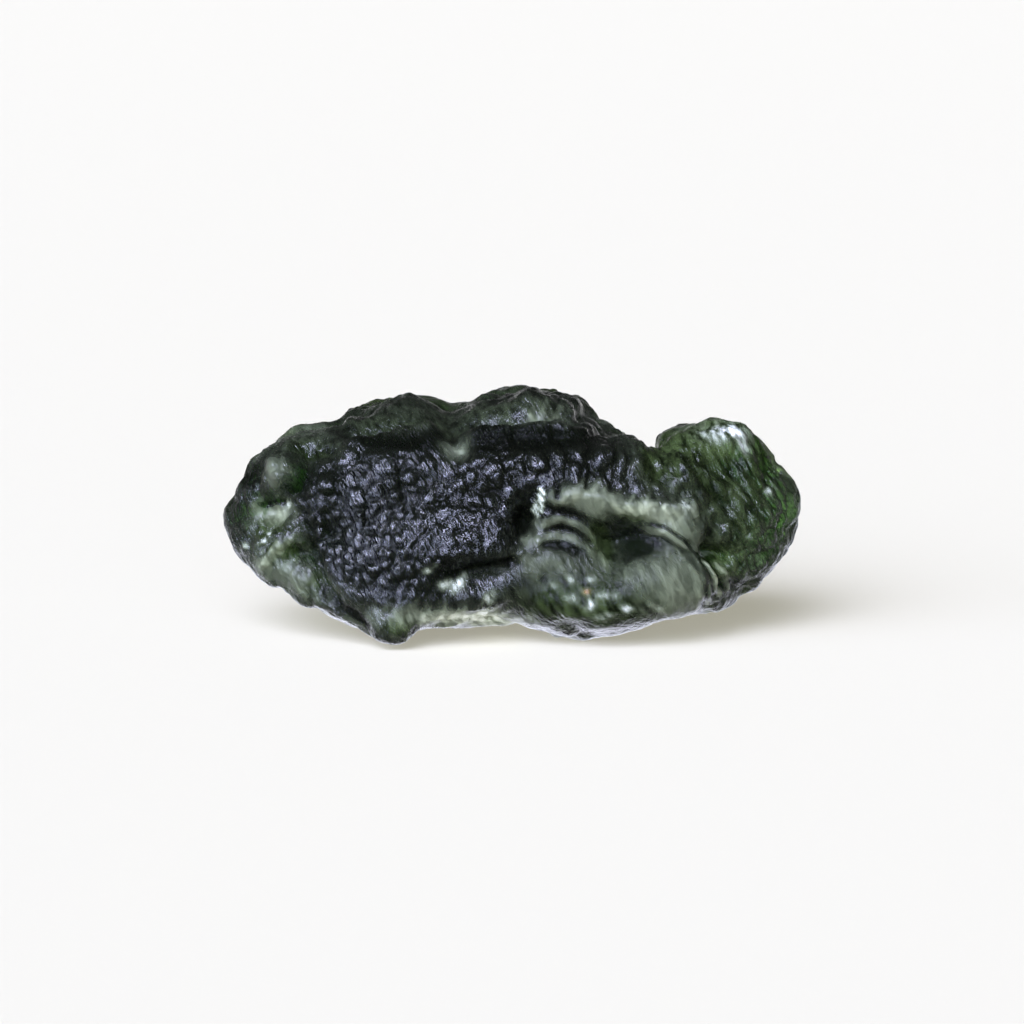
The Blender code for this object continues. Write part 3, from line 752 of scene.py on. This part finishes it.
# White places: the bright patch on the lobe and the pale notch. The rest is painted light: along the
# low edge a painted reflection of the table, and in the small spots painted highlights and glints.
WHITE_AND_GLINT_LUMPS = [
    (721, 438, 17, 5, 8, 1.0), (740, 448, 8, 4, 45, 0.5), (470, 612, 46, 6, 0, 0.58),
    (455, 441, 8, 10, 0, 0.12), (459, 583, 6, 3.2, -35, 0.8), (446, 582, 5, 3, 0, 0.45),
    (488, 592, 5, 3, -25, 0.8), (431, 566, 5, 2.2, -25, 0.6), (712, 557, 5, 2, 0, 0.7),
    (549, 582, 7, 2.4, 0, 0.3), (570, 576, 3.6, 3.8, 0, 0.28), (587, 577, 9, 2.2, 0, 0.3),
    (574, 591, 9, 2.8, 6, 0.34), (590, 596, 4.4, 3.6, 0, 0.6), (606, 589, 10, 2.4, 0, 0.3),
    (621, 598, 4.6, 4.0, 0, 0.5), (633, 597, 6, 2.8, 0, 0.28), (604, 605, 9, 3.0, -8, 0.36),
    (647, 594, 5, 3.4, 0, 0.24), (282, 503, 2.4, 3.4, 0, 0.6), (268, 534, 2, 2.2, 0, 0.7),
    (264, 541, 4.5, 1.7, -30, 0.6), (245, 546, 3, 2, 30, 0.45), (262, 552, 1.6, 1.6, 0, 0.5),
    (483, 605, 6, 4, 0, 0.5), (680, 505, 6, 5, 20, 0.5), (767, 490, 3, 4, 0, 0.4),
]
# Painted highlight: a bright crescent on the right wall of the pit, laid on in white
PAINTED_GLINT_STROKES = [
    ([(539, 489), (543, 494)], 1.5, 0.6), ([(538, 495), (542, 500)], 1.7, 0.6),
    ([(537, 500), (541, 506)], 1.6, 0.6), ([(535, 505), (540, 511)], 1.7, 0.6),
    ([(533, 509), (538, 516)], 1.5, 0.5),
]
RUST_LUMPS = [(586, 586, 4.0, 2.4, 0, 0.55)]
print(len(MATT_LUMPS), "matt lumps and", len(WHITE_AND_GLINT_LUMPS), "white ones")

# %% How matt, green, white and stained each point is
# Matt patches end in slanting teeth: their width and length, how far they reach across and
# down, and how much shorter they are on the smooth bulges
TOOTH_WIDE, TOOTH_LONG = 5, 13
TOOTH_REACH = (2.2, 5.0)
TOOTH_CALM, TOOTH_SEED = 0.7, 71
# The fine strokes' height in mm from which skin is matt, and where it is so in full
MATT_FROM, MATT_FULL = -0.16, 0.02
# Matt and green places of the back: size in mm, noise where they start and are full, strength, seed
BACK_MATT = (2.6, 0.15, 0.75, 0.5, 51)
BACK_GREEN = (3.4, -0.2, 0.6, 0.6, 52)


def spread(p, size, start, full, strength, seed):
    """Patches from smooth noise: nothing below start, rising softly to the strength at full."""
    return strength * soft_step(start, full, soft_noise(p / size, seed))


front = soft_step(-0.05, 0.35, cos_around)
raised = soft_step(MATT_FROM, MATT_FULL, strokes(draw_x, draw_y, FINE_STROKES))
lean = np.stack([draw_x / TOOTH_WIDE + draw_y / TOOTH_LONG, draw_y / TOOTH_LONG, depth * 0], axis=1)
tooth = soft_noise(lean, TOOTH_SEED) + 0.6 * soft_noise(2.3 * lean, TOOTH_SEED + 1)
tooth *= 1 - TOOTH_CALM * patches(draw_x, draw_y, SMOOTH_PATCHES)
toothed = (draw_x + TOOTH_REACH[0] * tooth, draw_y + TOOTH_REACH[1] * tooth)
drawn_matt = lumps(*toothed, MATT_LUMPS) + strokes(*toothed, MATT_STROKES)
where = np.stack([draw_x * UNIT_MM, draw_y * UNIT_MM, depth], axis=1)
skin = {
    "matt": front * raised * drawn_matt + (1 - front) * spread(where, *BACK_MATT),
    "green": front * lumps(draw_x, draw_y, GREEN_LUMPS) + (1 - front) * spread(where, *BACK_GREEN),
    # White specks, and painted highlights, glints and the table's painted reflection
    "white_and_glints": front * (lumps(draw_x, draw_y, WHITE_AND_GLINT_LUMPS) + strokes(draw_x, draw_y, PAINTED_GLINT_STROKES)),
    "rust": front * lumps(draw_x, draw_y, RUST_LUMPS),
    # The painted shade: where it is 1, the skin reflects almost nothing and is least milky
    "crease": crease,
}
skin = {name: np.clip(values, 0, 1) for name, values in skin.items()}
print("mean over the skin:", {name: round(float(values.mean()), 3) for name, values in skin.items()})


# %% The mesh and its object
def closed_mesh(name, points_mm, quads, triangles):
    """Fills a mesh from arrays: points in millimetres, four-cornered and three-cornered faces."""
    mesh = bpy.data.meshes.new(name)
    mesh.from_pydata((points_mm * METRE_PER_MM).tolist(), [], quads.tolist() + triangles.tolist())
    mesh.validate()
    mesh.shade_smooth()
    return mesh


mesh = closed_mesh("etched_stone", points, quads, fans)
for name, values in skin.items():
    layer = mesh.attributes.new(name, "FLOAT", "POINT")
    layer.data.foreach_set("value", values.astype(np.float32))
stone = bpy.data.objects.new("etched_stone", mesh)
bpy.context.scene.collection.objects.link(stone)
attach(stone, "root")
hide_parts("moldavite")
print("faces:", len(mesh.polygons))


# %% [markdown]
# ## The glass
# Moldavite is silica-rich glass: refractive index 1.49, bottle green, with a glossy to satin
# etched skin. Its colour comes from the depth of glass that the light crosses, so the colour is
# in a Volume Absorption node and the surface itself is nearly clear. Painting it green on the
# outside would be quicker, but thin places would then be as dark as thick ones.

# %% Colours and nodes
def hex_colour(code):
    """Turns an sRGB hex colour into the linear values that the shader works with."""
    channels = [int(code[i : i + 2], 16) / 255 for i in (1, 3, 5)]
    linear = [v / 12.92 if v <= 0.04045 else ((v + 0.055) / 1.055) ** 2.4 for v in channels]
    return (*linear, 1.0)


def add_node(tree, kind, inputs=None, **settings):
    """Adds one node, sets its properties, and fills each input with a plain value or with a
    link from a socket or from a node's first live output."""
    node = tree.nodes.new("ShaderNode" + kind)
    for name, value in settings.items():
        setattr(node, name, value)
    for name, value in (inputs or {}).items():
        if isinstance(value, bpy.types.Node):
            value = next(socket for socket in value.outputs if socket.enabled)
        if isinstance(value, bpy.types.NodeSocket):
            tree.links.new(value, node.inputs[name])
        else:
            node.inputs[name].default_value = value
    return node


print("middle grey is", round(hex_colour("#808080")[0], 3), "in linear light")


# %% Etched moldavite glass: its grain
# The etched skin is glossy on the knobs and satin on the smooth bulges, which gives sharp glints
# beside soft sheens. Slanting grain breaks the highlights into short streaks. The real grain is
# finer still and is drawn as coarse as it needs to show.
GRAIN_MM = (0.14, 0.24, 0.42)
GRAIN_LEAN = radians(-28)
CLOUD_MM = 0.9
glass = bpy.data.materials.new("etched moldavite glass")
glass.use_nodes = True
tree = glass.node_tree
tree.nodes.clear()
place_on = add_node(tree, "TexCoord").outputs["Object"]
grain_size = [v * METRE_PER_MM for v in GRAIN_MM]
cloud_scale = 1 / (CLOUD_MM * METRE_PER_MM)
leaning = add_node(
    tree, "Mapping", {"Vector": place_on, "Rotation": (0, GRAIN_LEAN, 0), "Scale": grain_size},
    vector_type="TEXTURE",
)
grain = add_node(tree, "TexNoise", {"Vector": leaning, "Scale": 1.0, "Detail": 2.0})
streaks = add_node(tree, "TexNoise", {"Vector": leaning, "Scale": 0.5, "Detail": 4.0})
cloud = add_node(tree, "TexNoise", {"Vector": place_on, "Scale": cloud_scale, "Detail": 5.0})
part = {name: add_node(tree, "Attribute", attribute_name=name).outputs["Fac"] for name in skin}
print("grain is", GRAIN_MM[0], "mm wide and", GRAIN_MM[2], "mm long")

# %% Scales: what is read, between which two values, and what comes out at each of them
# Streaks break up matt places gently and the other places strongly, so that none has the airbrushed look of
# a plain blend. Roughness varies softly, and the grain's bump is weaker on matt skin. Shade is painted into
# the creases and the finest pits: they reflect little and are less milky.
scale = {}
for name, value, start, end, at_start, at_end in (
    ("clear", part["crease"], 0.0, 1.0, 0.991, 0.9965),
    ("gentle", streaks, 0.34, 0.64, 0.58, 1.15),
    ("strong", streaks, 0.34, 0.64, 0.10, 1.35),
    ("rough", cloud, 0.3, 0.7, 0.26, 0.16),
    ("open", part["crease"], 0.0, 1.0, 1.0, 0.06),
    ("pits", grain, 0.38, 0.56, 0.65, 1.0),
    ("bumpy", part["matt"], 0.1, 0.6, 1.0, 0.35),
):
    scale[name] = add_node(
        tree, "MapRange",
        {"Value": value, "From Min": start, "From Max": end, "To Min": at_start, "To Max": at_end},
    )
print("scales:", list(scale))

# %% Skin colour: clear glass, then green, matt, white with painted glints, and rust laid over it
HELD = {"operation": "MULTIPLY", "use_clamp": True}
matt_here = add_node(tree, "Math", {0: part["matt"], 1: scale["gentle"]}, **HELD)
green_here = add_node(tree, "Math", {0: part["green"], 1: scale["strong"]}, **HELD)
white_and_glints_here = add_node(tree, "Math", {0: part["white_and_glints"], 1: scale["strong"]}, **HELD)
# Three times the strength, held at 1, keeps a faintly green place a clear green
greenness = add_node(tree, "Math", {0: part["green"], 1: 3.0}, **HELD)
skin_colour = hex_colour("#C2D2A4")
# The near-white laid over the skin is partly painted light: glints, highlights and a reflection
for amount, code in (
    (greenness, "#667A46"), (matt_here, "#C8D2A8"), (white_and_glints_here, "#ECEEE6"), (part["rust"], "#9A5038"),
):
    laid_over = {"Factor": amount, "A": skin_colour, "B": hex_colour(code)}
    skin_colour = add_node(tree, "Mix", laid_over, data_type="RGBA")
print("the last colour laid over the skin is", code)

# %% How clear and how rough the skin is
# Cloudy skin, which is matt and to a lesser share green, scatters up to a third of the light.
# White skin, with its painted glints and painted reflection, and rusty skin let almost nothing through.
GREEN_CLOUD = 0.80
CLOUDY_LOSS, COVERED_LOSS = -0.31, -0.9
MATT_ROUGH = 0.35
ADDED = {"operation": "MULTIPLY_ADD", "use_clamp": True}
cloudy = add_node(
    tree, "Math", {0: green_here, 1: GREEN_CLOUD, 2: matt_here}, operation="MULTIPLY_ADD"
)
clearness = add_node(tree, "Math", {0: cloudy, 1: CLOUDY_LOSS, 2: scale["clear"]}, **ADDED)
covered = add_node(tree, "Math", {0: white_and_glints_here, 1: part["rust"]}, operation="MAXIMUM")
clear_part = add_node(tree, "Math", {0: covered, 1: COVERED_LOSS, 2: clearness}, **ADDED)
rough = add_node(tree, "Math", {0: part["matt"], 1: MATT_ROUGH, 2: scale["rough"]}, **ADDED)
shine = add_node(tree, "Math", {0: scale["open"], 1: scale["pits"]}, operation="MULTIPLY")
print("matt skin is rougher by", MATT_ROUGH)

# %% The shader and the colour inside the glass
# A low specular tint dims the reflections where shade is painted.
BUMP_MM = 0.12
GLASS_INDEX = 1.49
INSIDE_COLOUR = (0.30, 0.44, 0.24, 1.0)
INSIDE_DENSITY = 1600.0
bumps = {"Strength": scale["bumpy"], "Distance": BUMP_MM * METRE_PER_MM, "Height": grain}
surface = {
    "Base Color": skin_colour, "Roughness": rough, "IOR": GLASS_INDEX, "Specular Tint": shine,
    "Transmission Weight": clear_part, "Normal": add_node(tree, "Bump", bumps),
}
inside = {"Color": INSIDE_COLOUR, "Density": INSIDE_DENSITY}
look = {
    "Surface": add_node(tree, "BsdfPrincipled", surface),
    "Volume": add_node(tree, "VolumeAbsorption", inside),
}
add_node(tree, "OutputMaterial", look)
mesh.materials.append(glass)
print("glass made with", len(tree.nodes), "nodes")

# %% [markdown]
# ## The studio
# The stone lies on a plain pale table. A dark glassy thing shows mostly what it reflects, so the
# lights are shaped for that. A broad cool light in front with a brighter core gives the lavender
# sheen on every knob, and the dark above keeps the upper ledges black. Lamps have hard edges,
# which a glossy stone would show, so these lights are painted on the room and fade out at their
# edges. The table is left out of reflections, because it would put a flat grey on every knob.

# %% Floor
bpy.ops.mesh.primitive_plane_add(size=6.0, location=(0, 0, 0))
floor = bpy.context.object
floor.name = "floor"
pale = bpy.data.materials.new("pale matt table")
pale.use_nodes = True
pale_shader = pale.node_tree.nodes["Principled BSDF"]
pale_shader.inputs["Base Color"].default_value = hex_colour("#BBB8A3")
pale_shader.inputs["Roughness"].default_value = 0.9
pale_shader.inputs["Specular IOR Level"].default_value = 0.0
floor.data.materials.append(pale)
floor.visible_glossy = False
print("floor is", floor.dimensions.x, "m wide")


# %% Lamps
LAMP_DISTANCE = 6.0


def direction(azimuth, elevation):
    """A unit vector from the stone: azimuth 0 is in front, 90 is to the right."""
    turn, rise = radians(azimuth), radians(elevation)
    return Vector((sin(turn) * cos(rise), -cos(turn) * cos(rise), sin(rise)))


def softbox(name, azimuth, elevation, wide, high, radiance, code, lit):
    """A rectangular lamp that looks at the stone and lights one thing alone, with no shadow on
    it but its own. The lamp's power is its radiance times its area times pi."""
    lamp = bpy.data.lights.new(name, "AREA")
    lamp.shape = "RECTANGLE"
    lamp.size, lamp.size_y = wide, high
    lamp.energy = radiance * wide * high * pi
    lamp.color = hex_colour(code)[:3]
    where = LAMP_DISTANCE * direction(azimuth, elevation)
    lamp_object = bpy.data.objects.new(name, lamp)
    lamp_object.location = where
    lamp_object.rotation_euler = (-where).to_track_quat("-Z", "Y").to_euler()
    alone = bpy.data.collections.new("lit by the " + name)
    alone.objects.link(lit)
    lamp_object.light_linking.receiver_collection = alone
    lamp_object.light_linking.blocker_collection = alone
    bpy.context.scene.collection.objects.link(lamp_object)
    return lamp_object


# One lamp lights the table and the other the stone's back. The second has its middle a little
# below the table, so that it reaches nothing that is seen from the front, and it is kept out of
# reflections, where it would draw a bright rim.
softbox("table lamp", -170, 72, 8.0, 8.0, 2.20, "#F8F8FF", floor)
back_lamp = softbox("back softbox", 180, -6, 4.0, 2.0, 16.0, "#FFFFFF", stone)
back_lamp.visible_glossy = False


# %% Lights painted on the room: azimuth, elevation, size, radiance and colour
# The broad light, its brighter core, and a weak one low behind for the back's own sheen
ROOM_LIGHTS = [
    (-26, 8, (1.00, 1.2, 0.85), 10.5, "#CDD6FF"),
    (-14, 30, (0.42, 0.6, 0.38), 30.0, "#D8DAFF"),
    (180, -26, (1.05, 1.0, 0.38), 2.6, "#E6EAFF"),
]


def feathered_light(sky, view_from, azimuth, elevation, size, radiance, colour):
    """A softbox painted on the room, brightest in its middle and fading out to nothing at its
    edge. size is its half width, half depth and half height as shares of the room's radius."""
    seen = {"Vector": view_from, "Location": direction(azimuth, elevation), "Scale": size}
    spot = add_node(sky, "Mapping", seen, vector_type="TEXTURE")
    ball = add_node(sky, "TexGradient", {"Vector": spot}, gradient_type="SPHERICAL")
    fade = add_node(
        sky, "MapRange",
        {"Value": ball.outputs["Fac"], "From Min": 0.0, "From Max": 0.8, "To Min": 0.0, "To Max": radiance},
        interpolation_type="SMOOTHSTEP",
    )
    return add_node(sky, "VectorMath", {0: colour[:3], "Scale": fade}, operation="SCALE")


print(len(ROOM_LIGHTS), "lights are painted on the room")

# %% The room: dim, paler behind the stone and low down, with the lights added
world = bpy.data.worlds.new("pale room")
bpy.context.scene.world = world
world.use_nodes = True
sky = world.node_tree
sky.nodes.clear()
view_from = add_node(sky, "TexCoord").outputs["Generated"]
axes = add_node(sky, "SeparateXYZ", {"Vector": view_from})
behind, lowness = (
    add_node(
        sky, "MapRange",
        {"Value": axes.outputs[axis], "From Min": a, "From Max": b, "To Min": at_a, "To Max": at_b},
        interpolation_type="SMOOTHSTEP",
    )
    for axis, a, b, at_a, at_b in (("Y", -0.3, 0.6, 0.06, 0.52), ("Z", 0.02, 0.32, 1.0, 0.08))
)
backdrop = add_node(sky, "Math", {0: behind, 1: lowness}, operation="MULTIPLY")
light = add_node(
    sky, "VectorMath", {0: hex_colour("#F8F8FC")[:3], "Scale": backdrop}, operation="SCALE"
)
for azimuth, elevation, size, radiance, colour in ROOM_LIGHTS:
    more = feathered_light(sky, view_from, azimuth, elevation, size, radiance, hex_colour(colour))
    light = add_node(sky, "VectorMath", {0: light, 1: more}, operation="ADD")
room = add_node(sky, "Background", {"Color": light, "Strength": 1.0})
add_node(sky, "OutputWorld", {"Surface": room})
print("room made with", len(sky.nodes), "nodes")

# %% [markdown]
# ## The camera
# A long lens from a quarter of a metre keeps the outline as drawn. The camera looks down by the
# drawing's tilt, at the point of the drawing that is the middle of the frame.

# %% Camera
LENS_MM = 200
SENSOR_MM = 36
FRAME_SIDE = 1024
FRAME_MIDDLE = 511.5
frame_width = FRAME_SIDE * UNIT_MM * METRE_PER_MM
distance = LENS_MM / SENSOR_MM * frame_width
aim_mm = place(*np.full((2, 1), FRAME_MIDDLE), np.zeros(1))[0] + shift
aim = Vector(aim_mm * METRE_PER_MM)
back_off = Vector((0, -cos(VIEW_TILT), sin(VIEW_TILT)))
lens = bpy.data.cameras.new("camera")
lens.lens, lens.sensor_width = LENS_MM, SENSOR_MM
lens.clip_start, lens.clip_end = 0.01, 50
camera = bpy.data.objects.new("camera", lens)
camera.location = aim + distance * back_off
camera.rotation_euler = (-back_off).to_track_quat("-Z", "Y").to_euler()
bpy.context.scene.collection.objects.link(camera)
bpy.context.scene.camera = camera
bpy.context.scene.view_settings.view_transform = "Standard"
print("camera is", round(distance, 3), "m away")
